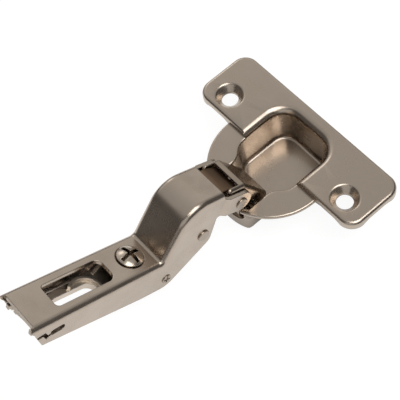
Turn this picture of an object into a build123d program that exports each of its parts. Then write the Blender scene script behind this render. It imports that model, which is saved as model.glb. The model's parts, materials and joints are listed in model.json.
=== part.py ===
from build123d import *
from math import atan2, cos, radians, sin, tan
import os

# Concealed cup hinge for an inset cabinet door, in pressed and plated steel.
# Millimetres. The origin is the centre of the cup's bore on the door's face.
# +X points away from the arm, +Y runs along the flange, +Z leaves the door.

# Cup pressing
BORE_DIAMETER = 35.0
BORE_PLAY = 0.2
CUP_SHEET = 1.0
CUP_DEPTH = 11.2
CUP_DRAFT = 4.0
CUP_FLOOR_RADIUS = 1.1

# Flange
FLANGE_LENGTH = 65.0
FLANGE_FRONT = 0.2
FLANGE_WIDTH = 19.9
FLANGE_HEIGHT = 2.8
FLANGE_CORNER = 4.5
FLANGE_EDGE_RADIUS = 1.2
FLANGE_RIM_RISE = 0.8
LEDGE_OVERLAP = 0.7
LEDGE_THICKNESS = 0.9
LEDGE_LIP_RADIUS = 0.6

# Screw holes in the flange
SCREW_SPACING = 48.0
SCREW_SETBACK = 6.0
SCREW_HOLE_DIAMETER = 5.0
SCREW_DISH_DIAMETER = 8.6
SCREW_DISH_DEPTH = 2.0

# Pocket for the folded links
POCKET_BACK = 15.4
POCKET_HALF_WIDTH = 10.7
POCKET_CORNER = 6.2
POCKET_RIM_RADIUS = 1.8
NECK_HALF_WIDTH = 7.3
NECK_START = -0.4
NECK_END = -8.4
NOTCH_BOTTOM = -5.6
NOTCH_CORNER = 2.0

# Pivots: two on the cup behind the bore's edge, then three on the arm in the arm's own frame
CUP_PIN_SETBACK = 3.0
CUP_PIN_LEVEL = -3.3
CUP_PIN_SPREAD = (4.3, -1.6)
ARM_FRONT_PIVOT = (25.2, 12.1)
ARM_REAR_PIVOT = (13.6, 4.7)
INSERT_PIVOT = (3.5, -7.4)
CUP_PIN_RADIUS = 1.2
ARM_PIN_RADIUS = 1.25
PIN_HEAD_RADIUS = 1.85
PIN_HEAD_HEIGHT = 0.5
PIN_HEAD_ROUNDING = 0.6
INSERT_PIN_HEAD = 1.5
INSERT_PIN_RISE = 0.3
STAKE_LENGTH = 2.2
STAKE_WIDTH = 0.5
RUNNING_CLEARANCE = 0.05
SIDE_CLEARANCE = 0.25

# Arm: a channel whose web steps up through a crank to the nose
ARM_TILT = 26.0
ARM_BEND_FROM_PIVOT = (-34.6, 12.4)
ARM_SHEET = 1.2
ARM_TAIL = -41.9
ARM_TAIL_HALF_WIDTH = 7.2
ARM_NOSE_HALF_WIDTH = 6.75
EAR_HALF_WIDTH = 7.4
JOGGLE_START = 18.6
JOGGLE_END = 19.8
ARM_BEND_RADIUS = 1.8
CRANK_START = 0.3
CRANK_RUN = 4.7
CRANK_RISE = 18.1
CRANK_FOOT_RADIUS = 1.0
CRANK_CREST_RADIUS = 8.5
NOSE_END = 17.6
EAR_RADIUS = 3.5
NIB_LENGTH = 1.1

# Edge of the arm's cheeks, from the nose round the ear and back to the tail
NOSE_STEP = 0.8
NOSE_STEP_RADIUS = 0.4
EAR_TOP_LIFT = 0.5
END_ROUNDING = 0.95
THROAT_LIFT = 1.4
THROAT_RADIUS = 0.8
CHEST_RADIUS = 3.0
CHEEK_DEPTH = 10.9
BELLY_FRONT = 1.0
BELLY_REAR = 8.0
BELLY_RADIUS = 6.0
CHEEK_TAIL_DEPTH = 8.2
CHEEK_TAIL_SLOPE = 3.2
CHEEK_TAIL_RADIUS = 0.6

# Hooked slit in each cheek, given ahead of the web's end and up from the web
HOOK_EYE = (7.5, -4.6)
HOOK_EYE_LENGTH = 4.6
HOOK_EYE_WIDTH = 2.0
HOOK_EYE_TILT = 5.0
HOOK_SLIT = ((6.2, -4.8), (4.4, -5.7), (3.2, -4.0), (-1.1, -5.0))
HOOK_SLIT_WIDTH = 1.1

# Closing spring: a flat leaf under the nose that reaches between the inner link's cheeks
SPRING_SHEET = 0.6
SPRING_REAR = 12.2
SPRING_FRONT = 24.8
SPRING_TIP_START = 20.4
SPRING_TIP_DROP = 0.9
SPRING_CORNER = 0.8

# Window, adjusting screw and insert in the rear of the arm
WINDOW_REAR = -32.9
WINDOW_FRONT = -13.6
WINDOW_HALF_WIDTH = 3.95
WINDOW_FRONT_CORNER = 2.4
WINDOW_REAR_CORNER = 1.3
ADJUSTER_ALONG = -5.9
ADJUSTER_HEAD_RADIUS = 3.75
ADJUSTER_HEAD_EDGE = 0.5
ADJUSTER_HEAD_RISE = 1.7
ADJUSTER_RING_GAP = 0.3
ADJUSTER_COLLAR_RADIUS = 4.8
ADJUSTER_COLLAR_HEIGHT = 1.0
ADJUSTER_SHANK_RADIUS = 1.9
ADJUSTER_TIP_DEPTH = 10.2
ADJUSTER_TIP_CHAMFER = 0.5
ADJUSTER_HOLE_PLAY = 0.25
RECESS_TURN = 8.0
RECESS_WIDTH = 1.15
RECESS_RADIUS = 3.5
RECESS_POINT_RADIUS = 2.7
RECESS_DEPTH = 2.0
INSERT_SHEET = 1.1
INSERT_TOP = -7.1
INSERT_FLANGE_TOP = -3.4
INSERT_NOSE_DROP = 0.8
INSERT_NOSE_RADIUS = 1.8
INSERT_TAIL = -38.6
INSERT_TAIL_HOLLOW = 0.6
LUG_TAIL = -41.5
LUG_TOP = -3.1
LUG_BOTTOM = -4.5
SEAT_REAR = -26.6
SEAT_FRONT = -19.4
SEAT_RADIUS = 5.1
SEAT_RISE = 0.5
SEAT_LIP = 0.9
SEAT_LIP_WIDTH = 0.9
SLOT_REAR = -30.3
SLOT_FRONT = -15.7
SLOT_WIDTH = 5.4

# Links
INNER_SHEET = 1.1
INNER_WEB_OFFSET = 4.8
INNER_WEB_START = 1.2
INNER_EYE_RADIUS = 2.5
INNER_HEAD_RADIUS = 2.8
INNER_TOP = (20.2, 17.2)
INNER_TOP_RADIUS = 1.2
PIN_ROOM_START = -16.0
PIN_ROOM_END = 156.0
OUTER_STRIP = 1.5
OUTER_ARCH = 3.2
OUTER_FRONT_EYE = 2.1
OPEN_PIVOT_PLAY = 1.1
OPEN_PIVOT_SHIFT = (0.62, 0.08)
OUTER_REAR_EYE_WALL = 1.1


# Places that follow from the bore
LEDGE_RADIUS = BORE_DIAMETER / 2 + LEDGE_OVERLAP
CUP_RADIUS = BORE_DIAMETER / 2 - BORE_PLAY
CUP_FRONT_PIVOT = (CUP_PIN_SETBACK - BORE_DIAMETER / 2, CUP_PIN_LEVEL)
CUP_REAR_PIVOT = (CUP_FRONT_PIVOT[0] + CUP_PIN_SPREAD[0], CUP_FRONT_PIVOT[1] + CUP_PIN_SPREAD[1])
ARM_BEND = (CUP_REAR_PIVOT[0] + ARM_BEND_FROM_PIVOT[0], CUP_REAR_PIVOT[1] + ARM_BEND_FROM_PIVOT[1])


def arm_frame(up_is_out):
    """A plane on the arm at its lower bend: side view, or top view when up is the normal."""
    lean = radians(ARM_TILT)
    along = (cos(lean), 0, -sin(lean))
    normal = (sin(lean), 0, cos(lean)) if up_is_out else (0, -1, 0)
    return Plane(origin=(ARM_BEND[0], 0, ARM_BEND[1]), x_dir=along, z_dir=normal)


ARM_SIDE = arm_frame(up_is_out=False)
ARM_TOP = arm_frame(up_is_out=True)


def arm_to_cup(point):
    """The cup-frame X and Z of a point given along and up the arm."""
    place = ARM_SIDE.from_local_coords((point[0], point[1], 0))
    return (place.X, place.Z)


def arm_to_link(point):
    """Where a point given along and up the arm lies along and off the inner link."""
    place = INNER_FRAME.to_local_coords(ARM_SIDE.from_local_coords((point[0], point[1], 0)))
    return (place.X, place.Y)


def link_frame(start, end):
    """A side-view plane at one pivot whose X axis points at the next pivot, and their distance."""
    reach = Vector(end[0] - start[0], 0, end[1] - start[1])
    return Plane(origin=(start[0], 0, start[1]), x_dir=reach, z_dir=(0, -1, 0)), reach.length


def arm_half_width(along):
    """Half of the arm's outside width: it tapers from tail to nose, then steps out to the ears."""
    taper = (min(along, JOGGLE_START) - ARM_TAIL) / (JOGGLE_START - ARM_TAIL)
    step = min(max((along - JOGGLE_START) / (JOGGLE_END - JOGGLE_START), 0), 1)
    half_width = ARM_TAIL_HALF_WIDTH + taper * (ARM_NOSE_HALF_WIDTH - ARM_TAIL_HALF_WIDTH)
    return half_width + step * (EAR_HALF_WIDTH - ARM_NOSE_HALF_WIDTH)


def across(plane, sketch, half_width):
    """A side-view sketch made solid, the same distance to both sides."""
    return extrude(plane * sketch, amount=half_width, both=True)


def rounded(corners):
    """A closed outline through pairs of a corner point and its radius."""
    points = [point for point, radius in corners]
    radii = [radius for point, radius in corners]
    return make_face(FilletPolyline(*points, radius=radii, close=True))


def rivet(centre, radius, half_grip, head_radius=0.0, head_height=0.0):
    """A pin across the hinge with a formed head on each end where one is asked for."""
    plane = Plane(origin=(centre[0], 0, centre[1]), x_dir=(1, 0, 0), z_dir=(0, -1, 0))
    shape = across(plane, Circle(radius), half_grip + head_height)
    if head_radius:
        for side in (1, -1):
            head = Cylinder(head_radius, head_height, align=(Align.CENTER, Align.CENTER, Align.MIN))
            crown = head.edges().sort_by(Axis.Z)[-1]
            head = fillet(crown, head_height * PIN_HEAD_ROUNDING)
            seat = Plane(origin=(centre[0], side * half_grip, centre[1]), z_dir=(0, side, 0))
            shape += seat * head
    return shape


# Widths across the hinge, from the arm's ears inwards
INNER_HALF_WIDTH = EAR_HALF_WIDTH - ARM_SHEET - SIDE_CLEARANCE
OUTER_HALF_WIDTH = INNER_HALF_WIDTH - INNER_SHEET - SIDE_CLEARANCE
INSERT_HALF_WIDTH = arm_half_width(INSERT_PIVOT[0]) - ARM_SHEET - SIDE_CLEARANCE
FRONT_PIVOT = arm_to_cup(ARM_FRONT_PIVOT)
REAR_PIVOT = arm_to_cup(ARM_REAR_PIVOT)
INNER_FRAME, INNER_REACH = link_frame(CUP_REAR_PIVOT, FRONT_PIVOT)
OUTER_FRAME, OUTER_REACH = link_frame(CUP_FRONT_PIVOT, REAR_PIVOT)


def pocket_face():
    """Plan of the pocket's inside at the flange top: a wide back that necks down to the front."""
    back_corner = (POCKET_BACK, POCKET_HALF_WIDTH - POCKET_CORNER)
    side_corner = (POCKET_BACK - POCKET_CORNER, POCKET_HALF_WIDTH)
    shoulder = (NECK_START, POCKET_HALF_WIDTH)
    middle = ((NECK_START + NECK_END) / 2, (POCKET_HALF_WIDTH + NECK_HALF_WIDTH) / 2)
    neck = (NECK_END, NECK_HALF_WIDTH)
    mouth = (-BORE_DIAMETER, NECK_HALF_WIDTH)
    half = [
        Line((POCKET_BACK, 0), back_corner),
        TangentArc(back_corner, side_corner, tangent=(0, 1)),
        Line(side_corner, shoulder),
        TangentArc(shoulder, middle, tangent=(-1, 0)),
        TangentArc(neck, middle, tangent=(1, 0)),
        Line(neck, mouth),
        Line(mouth, (-BORE_DIAMETER, 0)),
    ]
    return make_face(half + [edge.mirror(Plane.XZ) for edge in half])


def drawn_plug(face, depth, floor_radius, clip_radius):
    """A drafted plug sunk from the flange top, its front kept round, with a rounded floor."""
    start = Pos(0, 0, FLANGE_HEIGHT) * face
    plug = extrude(start, amount=FLANGE_HEIGHT + depth, dir=(0, 0, -1), taper=CUP_DRAFT)
    behind = (Align.MIN, Align.CENTER, Align.CENTER)
    rear_half = Box(BORE_DIAMETER, BORE_DIAMETER, 2 * BORE_DIAMETER, align=behind)
    plug &= Cylinder(clip_radius, 2 * BORE_DIAMETER) + rear_half
    floor = plug.faces().sort_by(Axis.Z)[0]
    return fillet(floor.edges(), floor_radius)


def on_plate_edge(edge):
    """Whether an edge of the flange's blank runs round the outside of its top face."""
    place = edge.center()
    level = abs(place.Z - FLANGE_HEIGHT) < 0.01
    ends = abs(place.Y) > FLANGE_LENGTH / 2 - FLANGE_CORNER
    front = abs(place.X - FLANGE_FRONT) < 0.01
    back = abs(place.X - FLANGE_FRONT - FLANGE_WIDTH) < 0.01
    return level and (ends or front or back)


def build_flange(hollow):
    """A shallow pan: rounded plate with a turned-down rim that lifts between its corners."""
    middle = FLANGE_FRONT + FLANGE_WIDTH / 2
    plate = Pos(middle, 0, 0) * RectangleRounded(FLANGE_WIDTH, FLANGE_LENGTH, FLANGE_CORNER)
    flange = extrude(plate, amount=FLANGE_HEIGHT) - hollow
    top = flange.edges().filter_by_position(Axis.Z, FLANGE_HEIGHT, FLANGE_HEIGHT)
    flange = fillet([edge for edge in top if not on_plate_edge(edge)], POCKET_RIM_RADIUS)
    flange = fillet([edge for edge in flange.edges() if on_plate_edge(edge)], FLANGE_EDGE_RADIUS)
    inside = RectangleRounded(
        FLANGE_WIDTH - 2 * CUP_SHEET, FLANGE_LENGTH - 2 * CUP_SHEET, FLANGE_CORNER - CUP_SHEET
    )
    flange -= extrude(Pos(middle, 0, 0) * inside, amount=FLANGE_HEIGHT - CUP_SHEET)
    lift_length = FLANGE_LENGTH / 2 - LEDGE_RADIUS - 2 * FLANGE_CORNER
    for side in (1, -1):
        lift_middle = side * (LEDGE_RADIUS + FLANGE_LENGTH / 2 - FLANGE_CORNER) / 2
        flange -= Pos(middle, lift_middle, 0) * rim_lift(lift_length, FLANGE_WIDTH, Plane.YZ)
        flange -= Pos(middle, side * FLANGE_LENGTH / 2, 0) * rim_lift(
            FLANGE_WIDTH - 3 * FLANGE_CORNER, 4 * CUP_SHEET, Plane.XZ
        )
        dimple = Cone(
            SCREW_HOLE_DIAMETER / 2 + CUP_SHEET,
            SCREW_DISH_DIAMETER / 2 + CUP_SHEET,
            FLANGE_HEIGHT - CUP_SHEET,
            align=(Align.CENTER, Align.CENTER, Align.MIN),
        )
        flange += Pos(SCREW_SETBACK, side * SCREW_SPACING / 2, 0) * dimple
    return flange


def rim_lift(length, through, plane):
    """A long low cut with eased ends, which raises a stretch of the rim's lower edge."""
    ease = 3 * FLANGE_RIM_RISE
    outline = make_face(
        Polyline(
            (-length / 2 - ease, 0),
            (-length / 2, FLANGE_RIM_RISE),
            (length / 2, FLANGE_RIM_RISE),
            (length / 2 + ease, 0),
            close=True,
        )
    )
    return extrude(plane * outline, amount=through, both=True)


def on_ledge_lip(edge):
    """Whether an edge runs along the pocket's neck at the top of a ledge."""
    place = edge.center()
    level = abs(place.Z - LEDGE_THICKNESS) < 0.01
    return level and abs(place.Y) < POCKET_HALF_WIDTH and place.X < FLANGE_FRONT - 0.01


def build_cup():
    """Flange, ledges and pocket of the cup, drawn from one sheet."""
    ledge = Cylinder(LEDGE_RADIUS, LEDGE_THICKNESS, align=(Align.CENTER, Align.CENTER, Align.MIN))
    ledge &= Pos(FLANGE_FRONT + CUP_SHEET, 0, 0) * Box(
        2 * LEDGE_RADIUS, 2 * LEDGE_RADIUS, 4 * FLANGE_HEIGHT, align=(Align.MAX, Align.CENTER, Align.CENTER)
    )
    inner = pocket_face()
    shell = drawn_plug(offset(inner, CUP_SHEET), CUP_DEPTH, CUP_FLOOR_RADIUS + CUP_SHEET, CUP_RADIUS)
    above = Box(BORE_DIAMETER, BORE_DIAMETER, BORE_DIAMETER, align=(Align.MAX, Align.CENTER, Align.MIN))
    shell -= Pos(FLANGE_FRONT, 0, LEDGE_THICKNESS) * above
    hollow = drawn_plug(inner, CUP_DEPTH - CUP_SHEET, CUP_FLOOR_RADIUS, CUP_RADIUS - CUP_SHEET)
    basin = ledge + shell - hollow
    basin = fillet([edge for edge in basin.edges() if on_ledge_lip(edge)], LEDGE_LIP_RADIUS)
    cup = build_flange(hollow) + basin

    notch_half_width = INNER_HALF_WIDTH + SIDE_CLEARANCE
    notch = Box(
        BORE_DIAMETER - LEDGE_RADIUS,
        2 * notch_half_width,
        BORE_DIAMETER,
        align=(Align.MAX, Align.CENTER, Align.MIN),
    )
    notch = fillet(notch.edges().filter_by(Axis.X).sort_by(Axis.Z)[:2], NOTCH_CORNER)
    cup -= Pos(CUP_FRONT_PIVOT[0], 0, NOTCH_BOTTOM) * notch

    for side in (1, -1):
        seat = Pos(SCREW_SETBACK, side * SCREW_SPACING / 2, 0)
        cup -= seat * Cylinder(SCREW_HOLE_DIAMETER / 2, 4 * FLANGE_HEIGHT)
        dish = Cone(
            SCREW_HOLE_DIAMETER / 2,
            SCREW_DISH_DIAMETER / 2,
            SCREW_DISH_DEPTH,
            align=(Align.CENTER, Align.CENTER, Align.MAX),
        )
        cup -= seat * Pos(0, 0, FLANGE_HEIGHT) * dish
    for pivot in (CUP_FRONT_PIVOT, CUP_REAR_PIVOT):
        cup -= rivet(pivot, CUP_PIN_RADIUS, BORE_DIAMETER)
    return cup


def arm_outline():
    """Side view of the arm: web line, crank, ear and the cheek's lower edge."""
    ear_front = ARM_FRONT_PIVOT[0] + EAR_RADIUS
    ear_top = ARM_FRONT_PIVOT[1] + EAR_RADIUS
    ear_bottom = ARM_FRONT_PIVOT[1] - EAR_RADIUS
    crest = CRANK_START + CRANK_RUN
    chest = ARM_REAR_PIVOT[0] + EAR_RADIUS
    nib = ARM_TAIL - NIB_LENGTH
    corners = [
        ((nib, 0), 0),
        ((CRANK_START, 0), CRANK_FOOT_RADIUS),
        ((crest, CRANK_RISE), CRANK_CREST_RADIUS),
        ((NOSE_END, CRANK_RISE), 0),
        ((NOSE_END + NOSE_STEP, ear_top + EAR_TOP_LIFT), NOSE_STEP_RADIUS),
        ((ear_front, ear_top), END_ROUNDING * EAR_RADIUS),
        ((ear_front, ear_bottom), END_ROUNDING * EAR_RADIUS),
        ((chest, ear_bottom + THROAT_LIFT), THROAT_RADIUS),
        ((chest, ARM_REAR_PIVOT[1] - EAR_RADIUS), CHEST_RADIUS),
        ((INSERT_PIVOT[0] + BELLY_FRONT, -CHEEK_DEPTH), BELLY_RADIUS),
        ((INSERT_PIVOT[0] - BELLY_REAR, -CHEEK_DEPTH), BELLY_RADIUS),
        ((ARM_TAIL + CHEEK_TAIL_SLOPE, -CHEEK_TAIL_DEPTH), CHEEK_TAIL_RADIUS),
        ((ARM_TAIL, -2 * ARM_SHEET), 0),
        ((nib, -ARM_SHEET), 0),
    ]
    return rounded(corners)


def arm_hollow():
    """Side view of the channel inside the arm, open below and past the end of the nose."""
    half_turn = atan2(CRANK_RISE, CRANK_RUN) / 2
    shift = ARM_SHEET * tan(half_turn)
    far = 2 * BORE_DIAMETER
    corners = [
        ((-far, -ARM_SHEET), 0),
        ((CRANK_START + shift, -ARM_SHEET), CRANK_FOOT_RADIUS + ARM_SHEET),
        ((CRANK_START + CRANK_RUN + shift, CRANK_RISE - ARM_SHEET), CRANK_CREST_RADIUS - ARM_SHEET),
        ((NOSE_END, CRANK_RISE - ARM_SHEET), 0),
        ((NOSE_END, far), 0),
        ((far, far), 0),
        ((far, -far), 0),
        ((-far, -far), 0),
    ]
    return rounded(corners)


def arm_plan(inset):
    """A block as wide as the arm all along it, less an inset on both sides."""
    stations = (ARM_TAIL - 2 * NIB_LENGTH, JOGGLE_START, JOGGLE_END, ARM_FRONT_PIVOT[0] + 2 * EAR_RADIUS)
    left = [(along, arm_half_width(along) - inset) for along in stations]
    right = [(along, -half_width) for along, half_width in reversed(left)]
    outline = make_face(Polyline(*left, *right, close=True))
    return extrude(ARM_TOP * outline, amount=2 * CRANK_RISE, both=True)


def on_web_edge(edge):
    """Whether an edge of the arm's blank runs along the top of a cheek."""
    place = ARM_SIDE.to_local_coords(edge.center())
    sideways = abs(place.Z) > ARM_NOSE_HALF_WIDTH / 2
    rear = place.Y > -0.01 and place.X < CRANK_START + CRANK_RUN + CRANK_CREST_RADIUS
    nose = place.Y > CRANK_RISE - 0.01 and place.X < NOSE_END
    return sideways and (rear or nose)


def build_arm():
    """The cranked channel with its ears, window, screw hole, pivots and hooked tail."""
    wide = ARM_TAIL_HALF_WIDTH + 2 * ARM_SHEET
    arm = across(ARM_SIDE, arm_outline(), wide) & arm_plan(0)
    arm = fillet([edge for edge in arm.edges() if on_web_edge(edge)], ARM_BEND_RADIUS)
    arm -= across(ARM_SIDE, arm_hollow(), wide) & arm_plan(ARM_SHEET)

    web_end = Pos(ARM_TAIL, 0, 0) * Box(
        4 * NIB_LENGTH,
        2 * (ARM_TAIL_HALF_WIDTH - ARM_SHEET),
        BORE_DIAMETER,
        align=(Align.MAX, Align.CENTER, Align.CENTER),
    )
    arm -= ARM_TOP * web_end
    window = rounded(
        [
            ((WINDOW_REAR, -WINDOW_HALF_WIDTH), WINDOW_REAR_CORNER),
            ((WINDOW_FRONT, -WINDOW_HALF_WIDTH), WINDOW_FRONT_CORNER),
            ((WINDOW_FRONT, WINDOW_HALF_WIDTH), WINDOW_FRONT_CORNER),
            ((WINDOW_REAR, WINDOW_HALF_WIDTH), WINDOW_REAR_CORNER),
        ]
    )
    arm -= extrude(ARM_TOP * window, amount=2 * ARM_SHEET, both=True)
    screw_hole = Cylinder(ADJUSTER_HEAD_RADIUS + ADJUSTER_RING_GAP, 4 * ARM_SHEET)
    arm -= ARM_TOP * Pos(ADJUSTER_ALONG, 0, 0) * screw_hole
    for pivot, radius in (
        (ARM_FRONT_PIVOT, ARM_PIN_RADIUS),
        (ARM_REAR_PIVOT, ARM_PIN_RADIUS),
        (INSERT_PIVOT, CUP_PIN_RADIUS),
    ):
        arm -= rivet(arm_to_cup(pivot), radius, wide)
    arm -= across(ARM_SIDE, tail_hook(), wide)
    return arm


def tail_hook():
    """Side view of the slit in each cheek that leaves a springy catch at the tail."""
    eye = Pos(ARM_TAIL + HOOK_EYE[0], HOOK_EYE[1]) * Rotation(0, 0, HOOK_EYE_TILT)
    route = [(ARM_TAIL + ahead, up) for ahead, up in HOOK_SLIT]
    slit = trace(Polyline(*route), line_width=HOOK_SLIT_WIDTH)
    return eye * SlotOverall(HOOK_EYE_LENGTH, HOOK_EYE_WIDTH) + slit


def build_inner_link():
    """The short link: a channel with its web towards the pocket and cheeks that hook round a pin."""
    wall = -INNER_WEB_OFFSET
    head = INNER_HEAD_RADIUS
    eye = INNER_EYE_RADIUS
    rear_top = arm_to_link(INNER_TOP)
    level = arm_to_link((INNER_TOP[0] + 1, INNER_TOP[1]))
    slope = (level[0] - rear_top[0]) / (level[1] - rear_top[1])
    front_top = (rear_top[0] + (wall - rear_top[1]) * slope, wall)
    corners = [
        ((-eye, -eye), END_ROUNDING * eye),
        ((INNER_WEB_START, wall), INNER_SHEET),
        (front_top, INNER_SHEET / 2),
        (rear_top, INNER_TOP_RADIUS),
        ((INNER_REACH + head, head), END_ROUNDING * head),
        ((INNER_REACH / 2, head), INNER_SHEET / 2),
        ((-eye, eye), END_ROUNDING * eye),
    ]
    outline = rounded(corners)
    outline -= swept_pin_room()
    link = across(INNER_FRAME, outline, INNER_HALF_WIDTH)
    bends = [
        edge
        for edge in link.edges().filter_by(lambda edge: edge.geom_type == GeomType.LINE)
        if abs(INNER_FRAME.to_local_coords(edge.center()).Y - wall) < 0.01
        and abs(INNER_FRAME.to_local_coords(edge.center()).Z) > INNER_HALF_WIDTH / 2
    ]
    link = fillet(bends, INNER_SHEET)
    far = 4 * INNER_REACH
    inside = Pos(0, wall + INNER_SHEET) * Rectangle(far, far, align=(Align.CENTER, Align.MIN))
    link -= across(INNER_FRAME, inside, INNER_HALF_WIDTH - INNER_SHEET)
    link -= rivet(CUP_REAR_PIVOT, CUP_PIN_RADIUS + RUNNING_CLEARANCE, BORE_DIAMETER)
    link -= rivet(FRONT_PIVOT, ARM_PIN_RADIUS + RUNNING_CLEARANCE, BORE_DIAMETER)
    return link


def swept_pin_room():
    """The room round the link's lower pivot through which the cup's front pin passes."""
    spread = Vector(CUP_FRONT_PIVOT[0] - CUP_REAR_PIVOT[0], 0, CUP_FRONT_PIVOT[1] - CUP_REAR_PIVOT[1])
    half = CUP_PIN_RADIUS + SIDE_CLEARANCE
    ring = Circle(spread.length + half) - Circle(spread.length - half)
    first = radians(PIN_ROOM_START)
    last = radians(PIN_ROOM_END)
    far = 4 * INNER_REACH
    wedge = make_face(
        Polyline(
            (0, 0),
            (far * cos(first), far * sin(first)),
            (far, far),
            (-far, far),
            (far * cos(last), far * sin(last)),
            close=True,
        )
    )
    return ring & wedge


def build_outer_link():
    """The long link: an arched strip with an eye round each pin, loose at the arm's rear pivot."""
    rear_eye = (OUTER_REACH + OPEN_PIVOT_SHIFT[0], OPEN_PIVOT_SHIFT[1])
    rear_hole = ARM_PIN_RADIUS + OPEN_PIVOT_PLAY
    arch = ThreePointArc((0, 0), (OUTER_REACH / 2, -OUTER_ARCH), rear_eye)
    outline = trace(arch, line_width=OUTER_STRIP)
    outline += Circle(OUTER_FRONT_EYE)
    outline += Pos(*rear_eye) * Circle(rear_hole + OUTER_REAR_EYE_WALL)
    outline -= Circle(CUP_PIN_RADIUS + RUNNING_CLEARANCE)
    outline -= Pos(*rear_eye) * Circle(rear_hole)
    return across(OUTER_FRAME, outline, OUTER_HALF_WIDTH)


def build_insert():
    """The tray inside the arm's rear that a mounting plate's screw clamps, tipped by the adjuster."""
    bottom = INSERT_TOP - INSERT_SHEET
    nose = INSERT_PIVOT[0] + 2 * CUP_PIN_RADIUS
    corners = [
        ((INSERT_TAIL, bottom), 0),
        ((nose, bottom - INSERT_NOSE_DROP), INSERT_NOSE_RADIUS),
        ((nose, INSERT_FLANGE_TOP - INSERT_NOSE_DROP), INSERT_NOSE_RADIUS),
        ((WINDOW_FRONT + INSERT_FLANGE_TOP - INSERT_TOP, INSERT_FLANGE_TOP), INSERT_SHEET),
        ((WINDOW_FRONT, INSERT_TOP), INSERT_SHEET),
        ((WINDOW_REAR, INSERT_TOP), INSERT_SHEET),
        ((WINDOW_REAR + INSERT_TOP - LUG_TOP, LUG_TOP), INSERT_SHEET),
        ((LUG_TAIL, LUG_TOP), 0),
        ((LUG_TAIL, LUG_BOTTOM), 0),
        ((INSERT_TAIL, LUG_BOTTOM), 0),
    ]
    outline = rounded(corners)
    tray = across(ARM_SIDE, outline, INSERT_HALF_WIDTH)
    far = 4 * BORE_DIAMETER
    inside = Pos(0, INSERT_TOP) * Rectangle(far, far, align=(Align.CENTER, Align.MIN))
    fork = Rectangle(far, far, align=(Align.MIN, Align.CENTER))
    inside += Pos(INSERT_PIVOT[0] - 2 * CUP_PIN_RADIUS, 0) * fork
    tray -= across(ARM_SIDE, inside, INSERT_HALF_WIDTH - INSERT_SHEET)

    floor = ARM_TOP.offset(INSERT_TOP)
    front_seat = Pos(SEAT_FRONT, 0) * Circle(SEAT_RADIUS)
    rear_seat = Pos(SEAT_REAR, 0) * Circle(SEAT_RADIUS)
    lip = front_seat - Pos(SEAT_FRONT, 0) * Circle(SEAT_RADIUS - SEAT_LIP_WIDTH) - rear_seat
    tray += extrude(floor * (front_seat + rear_seat), amount=SEAT_RISE)
    tray += extrude(floor * lip, amount=SEAT_RISE + SEAT_LIP)
    slot = Pos((SLOT_FRONT + SLOT_REAR) / 2, 0) * SlotOverall(SLOT_FRONT - SLOT_REAR, SLOT_WIDTH)
    tray -= extrude(floor * slot, amount=4 * INSERT_SHEET, both=True)
    tail_radius = INSERT_HALF_WIDTH**2 / (2 * INSERT_TAIL_HOLLOW)
    tail_hollow = Pos(INSERT_TAIL + INSERT_TAIL_HOLLOW - tail_radius, 0) * Circle(tail_radius)
    tail_hollow &= Rectangle(far, 2 * (INSERT_HALF_WIDTH - INSERT_SHEET))
    tray -= extrude(floor * tail_hollow, amount=4 * INSERT_SHEET, both=True)
    thread = Pos(ADJUSTER_ALONG, 0) * Circle(ADJUSTER_SHANK_RADIUS + ADJUSTER_HOLE_PLAY)
    tray -= extrude(floor * thread, amount=4 * INSERT_SHEET, both=True)
    tray -= rivet(arm_to_cup(INSERT_PIVOT), CUP_PIN_RADIUS + RUNNING_CLEARANCE, BORE_DIAMETER)
    return tray


def build_adjuster():
    """The overlay screw: domed cross-recessed head in the web, a collar below it and a shank."""
    collar_top = -ARM_SHEET - RUNNING_CLEARANCE
    collar_bottom = collar_top - ADJUSTER_COLLAR_HEIGHT
    crown = (0, ADJUSTER_HEAD_RISE)
    head_edge = (ADJUSTER_HEAD_RADIUS, ADJUSTER_HEAD_EDGE)
    side = [
        head_edge,
        (ADJUSTER_HEAD_RADIUS, collar_top),
        (ADJUSTER_COLLAR_RADIUS, collar_top),
        (ADJUSTER_COLLAR_RADIUS, collar_bottom),
        (ADJUSTER_SHANK_RADIUS, collar_bottom),
        (ADJUSTER_SHANK_RADIUS, ADJUSTER_TIP_CHAMFER - ADJUSTER_TIP_DEPTH),
        (ADJUSTER_SHANK_RADIUS - ADJUSTER_TIP_CHAMFER, -ADJUSTER_TIP_DEPTH),
        (0, -ADJUSTER_TIP_DEPTH),
        crown,
    ]
    dome = TangentArc(crown, head_edge, tangent=(1, 0))
    screw = revolve(Plane.XZ * make_face([dome, Polyline(*side)]), Axis.Z)
    below = (Align.CENTER, Align.CENTER, Align.MAX)
    bit = Cone(RECESS_POINT_RADIUS, RECESS_RADIUS, RECESS_DEPTH, align=below)
    wing = Box(2 * RECESS_RADIUS, RECESS_WIDTH, 2 * RECESS_DEPTH)
    recess = bit & (wing + Rotation(0, 0, 90) * wing)
    screw -= Pos(0, 0, ADJUSTER_HEAD_RISE) * Rotation(0, 0, RECESS_TURN) * recess
    return ARM_TOP * Pos(ADJUSTER_ALONG, 0, 0) * screw


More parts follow.
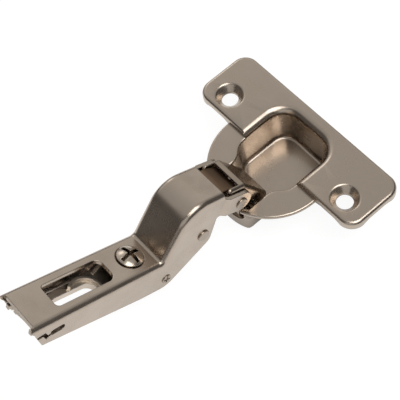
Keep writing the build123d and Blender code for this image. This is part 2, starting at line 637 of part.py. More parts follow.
def build_closing_spring():
    """The leaf that presses on the inner link: wide in the nose, slim between the link's cheeks."""
    wide = arm_half_width(NOSE_END) - ARM_SHEET - RUNNING_CLEARANCE
    slim = INNER_HALF_WIDTH - INNER_SHEET - SIDE_CLEARANCE
    left = [
        ((SPRING_REAR, wide), 0),
        ((NOSE_END, wide), 0),
        ((JOGGLE_START, slim), 0),
        ((SPRING_FRONT, slim), SPRING_CORNER),
    ]
    right = [((along, -half_width), radius) for (along, half_width), radius in reversed(left)]
    top = CRANK_RISE - ARM_SHEET
    path = Polyline((SPRING_REAR, top), (SPRING_TIP_START, top), (SPRING_FRONT, top - SPRING_TIP_DROP))
    below = path.offset_2d(SPRING_SHEET, side=Side.RIGHT, closed=True)
    leaf = across(ARM_SIDE, make_face(below), wide)
    return leaf & extrude(ARM_TOP * rounded(left + right), amount=2 * top, both=True)


def cup_rivet(pivot):
    """A pin across the cup's neck, its ends trimmed to the round of the bore."""
    return rivet(pivot, CUP_PIN_RADIUS, NECK_HALF_WIDTH + CUP_SHEET) & Cylinder(CUP_RADIUS, BORE_DIAMETER)


def arm_rivet(pivot, radius, head_radius, head_height):
    """A riveted pin through both cheeks at one of the arm's pivots."""
    grip = arm_half_width(pivot[0] - head_radius)
    return rivet(arm_to_cup(pivot), radius, grip, head_radius, head_height)


def build_insert_pin():
    """The insert's pin, spread at both ends by the cross mark of a staking punch."""
    pin = arm_rivet(INSERT_PIVOT, CUP_PIN_RADIUS, INSERT_PIN_HEAD, INSERT_PIN_RISE)
    end = arm_half_width(INSERT_PIVOT[0] - INSERT_PIN_HEAD) + INSERT_PIN_RISE
    mark = Rectangle(STAKE_LENGTH, STAKE_WIDTH) + Rectangle(STAKE_WIDTH, STAKE_LENGTH)
    for side in (1, -1):
        place = ARM_SIDE.offset(side * end) * Pos(*INSERT_PIVOT)
        pin -= extrude(place * mark, amount=INSERT_PIN_RISE, both=True)
    return pin


PARTS = {
    "cup": build_cup,
    "cup_front_pin": lambda: cup_rivet(CUP_FRONT_PIVOT),
    "cup_rear_pin": lambda: cup_rivet(CUP_REAR_PIVOT),
    "inner_link": build_inner_link,
    "outer_link": build_outer_link,
    "arm": build_arm,
    "closing_spring": build_closing_spring,
    "front_pivot_pin": lambda: arm_rivet(ARM_FRONT_PIVOT, ARM_PIN_RADIUS, PIN_HEAD_RADIUS, PIN_HEAD_HEIGHT),
    "rear_pivot_pin": lambda: arm_rivet(ARM_REAR_PIVOT, ARM_PIN_RADIUS, PIN_HEAD_RADIUS, PIN_HEAD_HEIGHT),
    "adjusting_insert": build_insert,
    "insert_pin": build_insert_pin,
    "overlay_screw": build_adjuster,
}

os.makedirs("parts", exist_ok=True)
for name, build in PARTS.items():
    export_step(build(), f"parts/{name}.step")
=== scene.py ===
# %% [markdown]
# A concealed cup hinge in plated steel
#
# The hinge is a handful of steel pressings held together by riveted pins. Its shapes come
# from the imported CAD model, which is loaded here as a fixed frame. This lesson gives those
# shapes rolled rims, clean shading and a satin nickel finish, winds a thread on the adjusting
# screw, and sets the hinge in a plain studio.

# %% Load the fixed frame
import json
import math
import bmesh
import bpy
from mathutils import Matrix, Quaternion, Vector


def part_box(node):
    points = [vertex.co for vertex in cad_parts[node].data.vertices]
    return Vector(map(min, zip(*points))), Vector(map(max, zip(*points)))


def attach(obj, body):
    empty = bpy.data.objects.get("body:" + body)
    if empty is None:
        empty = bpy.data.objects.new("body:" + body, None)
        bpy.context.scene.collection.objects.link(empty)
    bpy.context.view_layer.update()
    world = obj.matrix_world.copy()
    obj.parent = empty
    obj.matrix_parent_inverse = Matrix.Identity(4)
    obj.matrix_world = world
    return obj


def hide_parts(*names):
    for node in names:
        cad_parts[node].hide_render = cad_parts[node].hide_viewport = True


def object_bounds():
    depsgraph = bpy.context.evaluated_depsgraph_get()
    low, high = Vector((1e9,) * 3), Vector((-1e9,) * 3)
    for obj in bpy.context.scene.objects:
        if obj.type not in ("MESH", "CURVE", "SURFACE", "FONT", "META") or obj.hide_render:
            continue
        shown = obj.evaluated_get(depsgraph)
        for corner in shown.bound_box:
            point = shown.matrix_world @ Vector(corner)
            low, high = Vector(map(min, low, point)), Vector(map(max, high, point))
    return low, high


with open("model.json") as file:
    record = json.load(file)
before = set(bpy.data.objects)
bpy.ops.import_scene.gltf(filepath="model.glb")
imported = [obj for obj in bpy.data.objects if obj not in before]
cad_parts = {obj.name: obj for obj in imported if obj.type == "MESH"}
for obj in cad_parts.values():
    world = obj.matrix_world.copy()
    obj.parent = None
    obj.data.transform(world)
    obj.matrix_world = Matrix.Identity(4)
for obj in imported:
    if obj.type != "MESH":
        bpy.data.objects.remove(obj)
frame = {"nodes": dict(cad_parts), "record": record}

cad_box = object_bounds()
MM = 0.001
scene = bpy.context.scene
scene.view_settings.view_transform = "Standard"
body_of_node = {
    node: body
    for body, nodes in frame["record"]["behaviour"]["bodies"].items()
    for node in nodes
}
slot_of_node = {part["node"]: part["material_slot"] for part in frame["record"]["subparts"]}
print("nodes in the frame:", sorted(body_of_node))

# %% [markdown]
# The grain of the plating
#
# Barrel plated nickel is never a mirror. The steel below it has a fine orange peel from
# rolling, the plating varies a little in gloss from place to place, and a few tiny pits and
# flecks stay dull. Every piece shares this, so it is one shader node group that puts out a
# tint, a roughness and a height, and each material sets its own colours and roughness.

# %% Helpers for wiring nodes
def add_node(tree, kind, links=None, **settings):
    """A node with its settings, and its inputs linked or set by name or number."""
    node = tree.nodes.new(kind)
    for name, value in settings.items():
        setattr(node, name, value)
    for name, value in (links or {}).items():
        if isinstance(value, bpy.types.NodeSocket):
            tree.links.new(value, node.inputs[name])
        else:
            node.inputs[name].default_value = value
    return node


def calculate(tree, operation, *values):
    """The result of a Math node on sockets or plain numbers."""
    return add_node(tree, "ShaderNodeMath", dict(enumerate(values)), operation=operation).outputs[0]


def add_sockets(tree, direction, sockets):
    """Named sockets on a node group: name to kind and starting value."""
    for name, (kind, value) in sockets.items():
        socket = tree.interface.new_socket(name=name, in_out=direction, socket_type=kind)
        if value is not None:
            socket.default_value = value


# %% The plating group
GRAIN_SIZE = 0.16 * MM
CLOUD_SIZE = 7.0 * MM
CLOUD_RANGE = (0.3, 0.7)
CLOUD_DULLING = 0.2
FLECK_SPACING = 1.3 * MM
FLECK_EDGE = (0.05, 0.11)
FLECK_SHARE = 0.2
FLECK_ROUGHNESS = 0.25


def build_plating_group():
    """Tint, roughness and height of plated sheet steel, from Object coordinates."""
    group = bpy.data.node_groups.new("plated_sheet", "ShaderNodeTree")
    number, colour = "NodeSocketFloat", "NodeSocketColor"
    add_sockets(group, "INPUT", {
        "Bright": (colour, (0.7, 0.6, 0.5, 1.0)),
        "Dull": (colour, (0.5, 0.42, 0.34, 1.0)),
        "Roughness": (number, 0.3),
        "Roughness spread": (number, 0.05),
        "Grain": (number, 0.5),
        "Flecks": (number, 0.6),
    })
    add_sockets(group, "OUTPUT", {
        "Tint": (colour, None),
        "Roughness": (number, None),
        "Height": (number, None),
    })
    given = group.nodes.new("NodeGroupInput").outputs
    place = add_node(group, "ShaderNodeTexCoord").outputs["Object"]
    grain = add_node(group, "ShaderNodeTexNoise", {
        "Vector": place, "Scale": 1 / GRAIN_SIZE, "Detail": 2.0, "Roughness": 0.6,
    }).outputs["Fac"]
    clouds = add_node(group, "ShaderNodeTexNoise", {
        "Vector": place, "Scale": 1 / CLOUD_SIZE, "Detail": 3.0, "Roughness": 0.55,
    }).outputs["Fac"]
    uneven = add_node(group, "ShaderNodeMapRange", {
        "Value": clouds, "From Min": CLOUD_RANGE[0], "From Max": CLOUD_RANGE[1],
        "To Min": -1.0, "To Max": 1.0,
    }).outputs["Result"]

    cells = add_node(group, "ShaderNodeTexVoronoi", {
        "Vector": place, "Scale": 1 / FLECK_SPACING, "Randomness": 1.0,
    }).outputs
    spot = add_node(group, "ShaderNodeMapRange", {
        "Value": cells["Distance"], "From Min": FLECK_EDGE[0], "From Max": FLECK_EDGE[1],
        "To Min": 1.0, "To Max": 0.0,
    }).outputs["Result"]
    draw = add_node(group, "ShaderNodeSeparateColor", {"Color": cells["Color"]}).outputs["Red"]
    chosen = calculate(group, "GREATER_THAN", draw, 1 - FLECK_SHARE)
    fleck = calculate(group, "MULTIPLY", calculate(group, "MULTIPLY", spot, chosen), given["Flecks"])

    clouded = calculate(group, "MULTIPLY_ADD", uneven, CLOUD_DULLING, CLOUD_DULLING)
    tint = add_node(group, "ShaderNodeMix", {
        "Factor": calculate(group, "MAXIMUM", clouded, fleck), 6: given["Bright"], 7: given["Dull"],
    }, data_type="RGBA").outputs[2]
    rough = calculate(group, "MULTIPLY_ADD", uneven, given["Roughness spread"], given["Roughness"])
    rough = calculate(group, "MULTIPLY_ADD", fleck, FLECK_ROUGHNESS, rough)
    height = calculate(group, "SUBTRACT", calculate(group, "MULTIPLY", grain, given["Grain"]), fleck)
    add_node(group, "NodeGroupOutput", {"Tint": tint, "Roughness": rough, "Height": height})
    return group


PLATING = build_plating_group()
print("plating group with", len(PLATING.nodes), "nodes")

# %% [markdown]
# The finishes
#
# All the pieces are nickel over steel, but not the same: the drawn cup and the arm are
# tumbled and plated together, the links and pins are a little darker, the insert is rougher,
# the screw is brighter, and the spring leaf is only browned. A punched edge on the real
# pressing is not knife sharp, so a Bevel node rounds the shading of each edge. An Ambient
# Occlusion node paints shade into the tint: deep inside a channel or pocket the colour turns
# to a near black painted shade. It sees only its own piece, except on the insert, where the
# arm over it adds a painted shadow.

# %% Materials
EDGE_ROUNDING = 0.35 * MM
EDGE_SAMPLES = 6
GRAIN_DEPTH = 0.006 * MM
# Painted shade: recesses found by Ambient Occlusion are tinted towards this near black.
PAINTED_SHADE_REACH = 9.0 * MM
PAINTED_SHADE_SAMPLES = 12
PAINTED_SHADE_DEEP = 0.2
PAINTED_SHADE_TINT = (0.10, 0.075, 0.055, 1.0)
SATIN = {"bright": (0.54, 0.46, 0.385), "dull": (0.43, 0.355, 0.285), "roughness": 0.25}


def plated(name, bright, dull, roughness, painted_shade_open=0.6, only_local=True):
    """A plated steel material: one Principled shader fed by the plating group, with painted shade in its
    recesses.
    """
    material = bpy.data.materials.new(name)
    material.use_nodes = True
    tree = material.node_tree
    tree.nodes.clear()
    finish = add_node(tree, "ShaderNodeGroup", node_tree=PLATING)
    for socket, value in (
        ("Bright", (*bright, 1.0)), ("Dull", (*dull, 1.0)), ("Roughness", roughness),
    ):
        finish.inputs[socket].default_value = value
    edge = add_node(tree, "ShaderNodeBevel", {"Radius": EDGE_ROUNDING}, samples=EDGE_SAMPLES)
    bump = add_node(tree, "ShaderNodeBump", {
        "Strength": 1.0, "Distance": GRAIN_DEPTH,
        "Height": finish.outputs["Height"], "Normal": edge.outputs["Normal"],
    })
    # Painted shade: where the Ambient Occlusion finds a recess, the tint turns near black.
    painted_shade_ao = add_node(
        tree, "ShaderNodeAmbientOcclusion", {"Distance": PAINTED_SHADE_REACH},
        samples=PAINTED_SHADE_SAMPLES, only_local=only_local,
    )
    painted_shade_mask = add_node(tree, "ShaderNodeMapRange", {
        "Value": painted_shade_ao.outputs["AO"], "From Min": PAINTED_SHADE_DEEP, "From Max": painted_shade_open,
    })
    tint = add_node(tree, "ShaderNodeMix", {
        "Factor": painted_shade_mask.outputs["Result"], 6: PAINTED_SHADE_TINT, 7: finish.outputs["Tint"],
    }, data_type="RGBA")
    metal = add_node(tree, "ShaderNodeBsdfPrincipled", {
        "Base Color": tint.outputs[2], "Roughness": finish.outputs["Roughness"],
        "Metallic": 1.0, "Normal": bump.outputs["Normal"],
    })
    add_node(tree, "ShaderNodeOutputMaterial", {"Surface": metal.outputs["BSDF"]})
    return material


# Each finish's opening setting gives how open a place must be to be free of the painted shade; on the
# insert the arm also casts a painted shadow.
FINISHES = {
    "nickel_plate": plated("satin_nickel", **SATIN, painted_shade_open=0.76),
    "arm": plated("arm_nickel", **SATIN, painted_shade_open=0.85),
    "link_plate": plated("link_nickel", (0.44, 0.365, 0.295), (0.35, 0.285, 0.225), 0.24),
    "insert_plate": plated(
        "insert_nickel", (0.72, 0.635, 0.54), (0.60, 0.52, 0.43), 0.45,
        painted_shade_open=0.32, only_local=False,
    ),
    "pin_plate": plated("pin_nickel", (0.45, 0.38, 0.31), (0.35, 0.285, 0.225), 0.28),
    "screw_plate": plated("screw_nickel", (0.56, 0.48, 0.40), (0.42, 0.35, 0.28), 0.22),
    "spring_steel": plated("browned_spring", (0.25, 0.165, 0.105), (0.18, 0.12, 0.078), 0.34),
}
print("finishes:", ", ".join(FINISHES))

# %% [markdown]
# Rolled rims
#
# Where sheet is drawn down into the pocket or a screw dish, it rolls over the rim and never
# breaks at a corner, and that roll is what catches the light. The neck's front corners are
# drawn round in the same way. A bevel would have to fight the thin triangles of the CAD
# faces, so each round is cut by a Boolean instead, with a tool like a router bit. Its section
# leaves a round between two faces, and it is carried along the rim from point to point. The
# round starts and ends a hair outside the faces, because a tool that only touches a face
# leaves slivers.

# %% A rim tool
ROLL_STEPS = 10
TOOL_SPARE = 0.5 * MM
TOOL_LIFT = 0.03 * MM


def roll_section(radius, lean):
    """Outward and upward places of the tool's section, for a wall that leans in by an angle."""
    reach = radius * (1 / math.cos(lean) - math.tan(lean))
    bit = radius + TOOL_LIFT
    section = []
    for step in range(ROLL_STEPS + 1):
        turn = math.pi / 2 + (math.pi / 2 - lean) * step / ROLL_STEPS
        section.append((reach + bit * math.cos(turn), bit * math.sin(turn) - radius))
    inside, foot = section[-1]
    section += [(inside - TOOL_SPARE, foot), (inside - TOOL_SPARE, TOOL_SPARE), (reach, TOOL_SPARE)]
    return section


def solid_through(name, sections, closed):
    """A cutting tool whose skin runs through a row of sections with equal numbers of points."""
    work = bmesh.new()
    rings = [[work.verts.new(point) for point in section] for section in sections]
    for here, there in zip(rings, rings[1:] + (rings[:1] if closed else [])):
        for index in range(len(here)):
            work.faces.new((here[index - 1], here[index], there[index], there[index - 1]))
    if not closed:
        work.faces.new(rings[0])
        work.faces.new(rings[-1])
    bmesh.ops.recalc_face_normals(work, faces=work.faces)
    mesh = bpy.data.meshes.new(name)
    work.to_mesh(mesh)
    work.free()
    tool = bpy.data.objects.new(name, mesh)
    scene.collection.objects.link(tool)
    return tool


def rim_tool(name, path, section, closed):
    """A tool that carries the section along a level path of points and outward directions."""
    sections = [
        [point + outward * out + Vector((0, 0, rise)) for out, rise in section]
        for point, outward in path
    ]
    return solid_through(name, sections, closed)


# %% The cup's rims
FLANGE_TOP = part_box("cup")[1].z
POCKET_FRONT = -0.2 * MM
POCKET_BACK = 15.4 * MM
POCKET_HALF_WIDTH = 10.7 * MM
POCKET_CORNER = 6.2 * MM
POCKET_DRAFT = math.radians(4)
POCKET_ROLL = 2.6 * MM
DISH_RADIUS = 4.3 * MM
DISH_LEAN = math.radians(42)
DISH_ROLL = 1.2 * MM
CORNER_STEPS = 18


def arc(centre, radius, first, last, steps):
    """Points and outward directions along a level arc, from one angle to another in degrees."""
    path = []
    for step in range(steps + 1):
        turn = math.radians(first + (last - first) * step / steps)
        outward = Vector((math.cos(turn), math.sin(turn), 0))
        path.append((centre + outward * radius, outward))
    return path


def cup_rim_tools():
    """One tool for the U of the pocket's rim and one for each screw dish."""
    corner = Vector((POCKET_BACK - POCKET_CORNER, POCKET_HALF_WIDTH - POCKET_CORNER, FLANGE_TOP))
    mirrored = corner * Vector((1, -1, 1))
    side = Vector((0, 1, 0))
    start = Vector((POCKET_FRONT, POCKET_HALF_WIDTH, FLANGE_TOP))
    end = Vector((POCKET_FRONT, -POCKET_HALF_WIDTH, FLANGE_TOP))
    corners = arc(corner, POCKET_CORNER, 90, 0, CORNER_STEPS)
    corners += arc(mirrored, POCKET_CORNER, 0, -90, CORNER_STEPS)
    path = [(start, side)] + corners + [(end, -side)]
    tools = [rim_tool("pocket_rim_tool", path, roll_section(POCKET_ROLL, POCKET_DRAFT), closed=False)]
    screws = next(mount for mount in frame["record"]["mounts"] if mount["name"] == "cup_screws")
    for hand in (1, -1):
        off = hand * screws["dims"]["spacing_y_mm"] / 2 * MM
        centre = Vector((screws["pos_m"][0], off, FLANGE_TOP))
        ring = arc(centre, DISH_RADIUS, 0, 360, 4 * CORNER_STEPS)[:-1]
        tools.append(rim_tool("dish_rim_tool", ring, roll_section(DISH_ROLL, DISH_LEAN), closed=True))
    return tools


# %% The neck's corners
CUP_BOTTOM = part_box("cup")[0].z
CUP_RADIUS = 17.3 * MM
NECK_HALF_WIDTH = 8.3 * MM
NECK_ROUND = 4.0 * MM
NECK_SPARE = 2.5 * MM
LEDGE_GAP = 0.01 * MM


def neck_corner_section(level, hand):
    """The sliver outside the round at one height, between the neck's side and the cup's front."""
    half_width = NECK_HALF_WIDTH - (FLANGE_TOP - level) * math.tan(POCKET_DRAFT)
    across = half_width - NECK_ROUND
    along = -math.sqrt((CUP_RADIUS - NECK_ROUND) ** 2 - across**2)
    centre = Vector((along, across, level))
    last = math.degrees(math.atan2(across, along))
    inner = arc(centre, NECK_ROUND + TOOL_LIFT, 90, last, CORNER_STEPS)
    outer = arc(centre, NECK_ROUND + NECK_SPARE, last, 90, CORNER_STEPS)
    return [point * Vector((1, hand, 1)) for point, outward in inner + outer]


def neck_corner_tools():
    """One upright tool for each front corner of the neck, from below the ledge to the bottom."""
    tools = []
    for hand in (1, -1):
        levels = (-LEDGE_GAP, CUP_BOTTOM - TOOL_SPARE)
        sections = [neck_corner_section(level, hand) for level in levels]
        tools.append(solid_through("neck_corner_tool", sections, closed=False))
    return tools


# %% [markdown]
# Shading the pressings
#
# The CAD model arrives as plain triangles. A bend or a drawn corner should catch the light
# as one smooth curve, while a punched edge stays crisp. Each piece is a copy of its CAD
# node with the doubled points merged and its rims rolled, edges sharper than a set angle
# kept, and normals weighted by face area, so that wide flat faces stay truly flat beside
# their bends.

# %% Turning modifiers into a clean mesh
def as_plain_mesh(piece):
    """The piece with its modifiers turned into a plain mesh."""
    evaluated = piece.evaluated_get(bpy.context.evaluated_depsgraph_get())
    finished = bpy.data.meshes.new_from_object(evaluated)
    piece.modifiers.clear()
    piece.data = finished
    return piece


def weld(mesh, distance):
    """The mesh with points closer than a distance merged, and faces of no area dissolved."""
    work = bmesh.new()
    work.from_mesh(mesh)
    bmesh.ops.remove_doubles(work, verts=work.verts, dist=distance)
    bmesh.ops.dissolve_degenerate(work, edges=work.edges, dist=distance)
    work.to_mesh(mesh)
    work.free()


# %% A smooth copy of every pressing
WELD = 0.001 * MM
SLIVER = 0.004 * MM
CRISP_ANGLE = math.radians(32)
FLAT_WEIGHT = 100
PRESSINGS = {
    "cup": "cup_pressing",
    "cup_front_pin": "cup_front_rivet",
    "cup_rear_pin": "cup_rear_rivet",
    "inner_link": "inner_link_channel",
    "outer_link": "outer_link_strip",
    "arm": "arm_channel",
    "closing_spring": "closing_spring_leaf",
    "front_pivot_pin": "front_pivot_rivet",
    "rear_pivot_pin": "rear_pivot_rivet",
    "adjusting_insert": "insert_tray",
    "insert_pin": "insert_rivet",
    "overlay_screw": "overlay_screw_turned",
}


def cut_rims(piece, tools):
    """The piece with each tool cut away from it, and the tools thrown away."""
    for tool in tools:
        cut = piece.modifiers.new(tool.name, "BOOLEAN")
        cut.operation = "DIFFERENCE"
        cut.solver = "EXACT"
        cut.object = tool
    as_plain_mesh(piece)
    weld(piece.data, SLIVER)
    for tool in tools:
        bpy.data.objects.remove(tool)


def pressed_piece(node, name, tools):
    """A shaded copy of a CAD node that stands for it and moves with its body."""
    slot = slot_of_node[node]
    source = frame["nodes"][node].data
    mesh = bpy.data.meshes.new(name)
    mesh.from_pydata([v.co for v in source.vertices], [], [list(p.vertices) for p in source.polygons])
    weld(mesh, WELD)
    mesh.materials.append(FINISHES.get(node, FINISHES[slot]))
    piece = bpy.data.objects.new(name, mesh)
    scene.collection.objects.link(piece)
    if tools:
        cut_rims(piece, tools)
    piece.data.shade_smooth()
    piece.data.set_sharp_from_angle(angle=CRISP_ANGLE)
    even = piece.modifiers.new("even_normals", "WEIGHTED_NORMAL")
    even.keep_sharp = True
    even.weight = FLAT_WEIGHT
    as_plain_mesh(piece)
    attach(piece, body_of_node[node])
    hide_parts(node)
    return piece


cuts = {"cup": neck_corner_tools() + cup_rim_tools(), "cup_front_pin": neck_corner_tools()}
for node, name in PRESSINGS.items():
    pressing = pressed_piece(node, name, cuts.get(node, ()))
    print(pressing.name, len(pressing.data.polygons), "faces")

# %% [markdown]
# The screw's thread
#
# The overlay screw works in the insert through a fine thread, which shows from below. A
# thread is one ridge that winds along the shank, so a Geometry Nodes tree draws a spiral
# curve and sweeps a small round profile along it. Its sizes are named inputs, and the
# screw's own joint in the frame gives the axis.

# %% Thread turns
THREAD_PITCH = 1.0 * MM
THREAD_START = -9.6 * MM
THREAD_LENGTH = 7.2 * MM
SHANK_RADIUS = 1.88 * MM
RIDGE_RADIUS = 0.13 * MM
RIDGE_SIDES = 8
STEPS_PER_TURN = 28


def build_thread_tree():
    """A Geometry Nodes tree that winds one ridge up the Z axis."""
    tree = bpy.data.node_groups.new("thread_turns", "GeometryNodeTree")
    geometry, number = "NodeSocketGeometry", "NodeSocketFloat"
    add_sockets(tree, "INPUT", {
        "Geometry": (geometry, None),
        "Length": (number, THREAD_LENGTH),
        "Pitch": (number, THREAD_PITCH),
        "Shank radius": (number, SHANK_RADIUS),
        "Ridge radius": (number, RIDGE_RADIUS),
        "Finish": ("NodeSocketMaterial", None),
    })
    add_sockets(tree, "OUTPUT", {"Geometry": (geometry, None)})
    given = tree.nodes.new("NodeGroupInput").outputs
    spiral = add_node(tree, "GeometryNodeCurveSpiral", {
        "Resolution": STEPS_PER_TURN, "Height": given["Length"],
        "Rotations": calculate(tree, "DIVIDE", given["Length"], given["Pitch"]),
        "Start Radius": given["Shank radius"], "End Radius": given["Shank radius"],
    })
    profile = add_node(tree, "GeometryNodeCurvePrimitiveCircle", {
        "Resolution": RIDGE_SIDES, "Radius": given["Ridge radius"],
    })
    swept = add_node(tree, "GeometryNodeCurveToMesh", {
        "Curve": spiral.outputs["Curve"], "Profile Curve": profile.outputs["Curve"], "Fill Caps": True,
    })
    plain = add_node(tree, "GeometryNodeRealizeInstances", {0: swept.outputs["Mesh"]})
    finish = add_node(tree, "GeometryNodeSetMaterial", {
        "Geometry": plain.outputs[0], "Material": given["Finish"],
    })
    add_node(tree, "NodeGroupOutput", {"Geometry": finish.outputs[0]})
    return tree


def wind_thread():
    """The ridge on the screw's shank, turned to the screw's axis and riding with it."""
    joint = next(j for j in frame["record"]["behaviour"]["joints"] if j["name"] == "overlay_turn")
    tree = build_thread_tree()
    ridge = bpy.data.objects.new("overlay_screw_thread", bpy.data.meshes.new("overlay_screw_thread"))
    scene.collection.objects.link(ridge)
    winding = ridge.modifiers.new("thread_turns", "NODES")
    winding.node_group = tree
    finish = next(item for item in tree.interface.items_tree if item.name == "Finish")
    winding[finish.identifier] = FINISHES["screw_plate"]
    as_plain_mesh(ridge)
    axis = Vector(joint["axis"]).normalized()
    turn = Vector((0, 0, 1)).rotation_difference(axis).to_matrix().to_4x4()
    place = Matrix.Translation(Vector(joint["pos_m"]) + axis * THREAD_START)
    ridge.data.transform(place @ turn)
    ridge.data.shade_smooth()
    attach(ridge, joint["child"])
    return ridge


thread = wind_thread()
print(thread.name, len(thread.data.polygons), "faces")

# %% [markdown]
# The studio
#
# Metal shows its surroundings more than itself. The room is pale above and behind the hinge
# and dim low down and in front, so that flat tops look light, while the steep crank and the
# bends pick up dark bands. The floor is a sheet of white paper. In a reflection it shows the
# shade that the hinge casts close by, and beyond the sheet it is dim. It is clear from below,
# so that the underside can be looked at too.

# %% Floor
SUBJECT = (cad_box[0] + cad_box[1]) / 2
FLOOR_DROP = 0.05 * MM
FLOOR_RADIUS = 3.0
FLOOR_SIDES = 64
FLOOR_GLOW = 0.8
FLOOR_WHITE = 1.13
FLOOR_PALE = (0.9, 0.9, 0.9, 1.0)
WHITE = (1.0, 1.0, 1.0, 1.0)
SHADE_REACH = 18.0 * MM
SHADE_SAMPLES = 8
SHADE_DARK, SHADE_CLEAR = 0.3, 0.9
SHADE_DEPTH = 0.25
PAPER_EDGE = (90.0 * MM, 200.0 * MM)
PAPER_WHITE, PAPER_BEYOND = 0.93, 0.08


def paper():
    """White paper, part glowing and part matt, that reflects as a shaded sheet with an end."""
    material = bpy.data.materials.new("white_paper")
    material.use_nodes = True
    tree = material.node_tree
    tree.nodes.clear()
    open_sky = add_node(
        tree, "ShaderNodeAmbientOcclusion", {"Distance": SHADE_REACH}, samples=SHADE_SAMPLES
    )
    unshaded = add_node(tree, "ShaderNodeMapRange", {
        "Value": open_sky.outputs["AO"], "From Min": SHADE_DARK, "From Max": SHADE_CLEAR,
        "To Min": SHADE_DEPTH,
    })
    place = add_node(tree, "ShaderNodeTexCoord").outputs["Object"]
    away = add_node(tree, "ShaderNodeVectorMath", {0: place, 1: SUBJECT}, operation="DISTANCE")
    sheet = add_node(tree, "ShaderNodeMapRange", {
        "Value": away.outputs["Value"], "From Min": PAPER_EDGE[0], "From Max": PAPER_EDGE[1],
        "To Min": PAPER_WHITE, "To Max": PAPER_BEYOND,
    }, interpolation_type="SMOOTHSTEP")
    mirrored = calculate(tree, "MULTIPLY", unshaded.outputs[0], sheet.outputs[0])

    seen = add_node(tree, "ShaderNodeLightPath").outputs
    brightness = add_node(tree, "ShaderNodeMix", {
        "Factor": seen["Is Glossy Ray"], 2: FLOOR_WHITE, 3: mirrored,
    })
    direct = calculate(tree, "MAXIMUM", seen["Is Camera Ray"], seen["Is Transmission Ray"])
    matt = add_node(tree, "ShaderNodeBsdfDiffuse", {"Color": FLOOR_PALE})
    glow = add_node(tree, "ShaderNodeEmission", {"Color": WHITE, "Strength": brightness.outputs[0]})
    lit = add_node(tree, "ShaderNodeMixShader", {
        "Fac": calculate(tree, "MULTIPLY_ADD", direct, FLOOR_GLOW, seen["Is Glossy Ray"]),
        1: matt.outputs[0], 2: glow.outputs[0],
    })
    side = add_node(tree, "ShaderNodeNewGeometry")
    clear = add_node(tree, "ShaderNodeBsdfTransparent")
    one_sided = add_node(tree, "ShaderNodeMixShader", {
        "Fac": side.outputs["Backfacing"], 1: lit.outputs[0], 2: clear.outputs[0],
    })
    add_node(tree, "ShaderNodeOutputMaterial", {"Surface": one_sided.outputs[0]})
    return material


def build_floor(level):
    """A wide disc of paper under the hinge."""
    mesh = bpy.data.meshes.new("studio_floor")
    work = bmesh.new()
    bmesh.ops.create_circle(work, cap_ends=True, radius=FLOOR_RADIUS, segments=FLOOR_SIDES)
    work.to_mesh(mesh)
    work.free()
    for vertex in mesh.vertices:
        vertex.co.z = level
    mesh.materials.append(paper())
    floor = bpy.data.objects.new("studio_floor", mesh)
    scene.collection.objects.link(floor)
    print(floor.name, "at", round(level / MM, 2), "mm")


build_floor(cad_box[0].z - FLOOR_DROP)

# %% Room
ROOM_HIGH = 0.58
ROOM_LOW = 0.14
ROOM_EDGE = (0.56, 0.80)
ROOM_LEAN = (0.35, 0.5, 1.0)
ROOM_COLOUR = (1.0, 0.985, 0.965, 1.0)
BACK_LEAN = (0.35, 1.0, 0.0)
BACK_EDGE = (0.40, 0.75)
BACK_GAIN = (0.80, 1.18)


def build_room():
    """A dome that is dim low down and in front, and pale above and behind the hinge."""
    world = bpy.data.worlds.new("light_tent")
    scene.world = world
    world.use_nodes = True
    tree = world.node_tree
    tree.nodes.clear()
    towards = add_node(tree, "ShaderNodeTexCoord").outputs["Generated"]
    height = add_node(tree, "ShaderNodeVectorMath", {0: towards, 1: ROOM_LEAN}, operation="DOT_PRODUCT")
    level = add_node(tree, "ShaderNodeMapRange", {
        "Value": height.outputs["Value"], "From Min": ROOM_EDGE[0], "From Max": ROOM_EDGE[1],
        "To Min": ROOM_LOW, "To Max": ROOM_HIGH,
    }, interpolation_type="SMOOTHSTEP")
    behind = add_node(tree, "ShaderNodeVectorMath", {0: towards, 1: BACK_LEAN}, operation="DOT_PRODUCT")
    gain = add_node(tree, "ShaderNodeMapRange", {
        "Value": behind.outputs["Value"], "From Min": BACK_EDGE[0], "From Max": BACK_EDGE[1],
        "To Min": BACK_GAIN[0], "To Max": BACK_GAIN[1],
    })
    glow = add_node(tree, "ShaderNodeBackground", {
        "Color": ROOM_COLOUR, "Strength": calculate(tree, "MULTIPLY", level.outputs[0], gain.outputs[0]),
    })
    backdrop = add_node(tree, "ShaderNodeBackground", {"Color": WHITE, "Strength": 1.0})
    seen = add_node(tree, "ShaderNodeLightPath")
    mixed = add_node(tree, "ShaderNodeMixShader", {
        "Fac": seen.outputs["Is Camera Ray"], 1: glow.outputs[0], 2: backdrop.outputs[0],
    })
    add_node(tree, "ShaderNodeOutputWorld", {"Surface": mixed.outputs[0]})
    print("room of", len(tree.nodes), "nodes")


build_room()

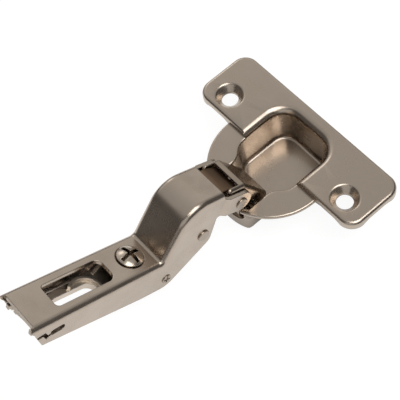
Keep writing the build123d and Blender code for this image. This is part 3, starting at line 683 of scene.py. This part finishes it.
# %% Softboxes
def softbox(name, direction, distance, size, radiance, turn=0):
    """An area lamp that faces the hinge, set by how bright its face looks."""
    lamp = bpy.data.lights.new(name, "AREA")
    lamp.shape = "RECTANGLE"
    lamp.size, lamp.size_y = size
    lamp.energy = math.pi * size[0] * size[1] * radiance
    box = bpy.data.objects.new(name, lamp)
    scene.collection.objects.link(box)
    towards = Vector(direction).normalized()
    aim = towards.to_track_quat("Z", "Y") @ Quaternion((0, 0, 1), math.radians(turn))
    box.location = SUBJECT + towards * distance
    box.rotation_euler = aim.to_euler()
    print(name, round(lamp.energy, 2), "W")


softbox(
    "overhead_softbox", direction=(0.074, -0.446, 0.892), distance=0.67, size=(0.5, 0.45),
    radiance=3.0, turn=10,
)
softbox("left_softbox", direction=(-0.69, -0.56, 0.46), distance=0.7, size=(0.7, 0.5), radiance=0.5)
softbox("rim_softbox", direction=(0.35, 0.85, 0.5), distance=0.7, size=(0.2, 0.2), radiance=1.5)

# %% [markdown]
# The camera
#
# The photograph was taken from above the arm's near side with a long lens. The place, aim,
# roll and focal length were found by matching known points of the hinge to the picture.

# %% Camera
CAMERA_PLACE = Vector((-101.78, -135.23, 283.72)) * MM
CAMERA_FORWARD = Vector((0.2434, 0.4296, -0.8696))
CAMERA_RIGHT = Vector((0.752, -0.6499, -0.1106))
FOCAL_PIXELS = 1157.8
PICTURE_PIXELS = 400
NEAR_LIMIT = 0.01


def build_camera():
    """A camera with the photograph's place, direction, roll and field of view."""
    lens = bpy.data.cameras.new("photo_camera")
    lens.sensor_fit = "HORIZONTAL"
    lens.lens = FOCAL_PIXELS / PICTURE_PIXELS * lens.sensor_width
    lens.clip_start = NEAR_LIMIT
    camera = bpy.data.objects.new("photo_camera", lens)
    scene.collection.objects.link(camera)
    forward = CAMERA_FORWARD.normalized()
    up = CAMERA_RIGHT.cross(forward).normalized()
    right = forward.cross(up)
    turn = Matrix((right, up, -forward)).transposed()
    camera.matrix_world = Matrix.Translation(CAMERA_PLACE) @ turn.to_4x4()
    scene.camera = camera
    print("lens", round(lens.lens, 1), "mm")


build_camera()
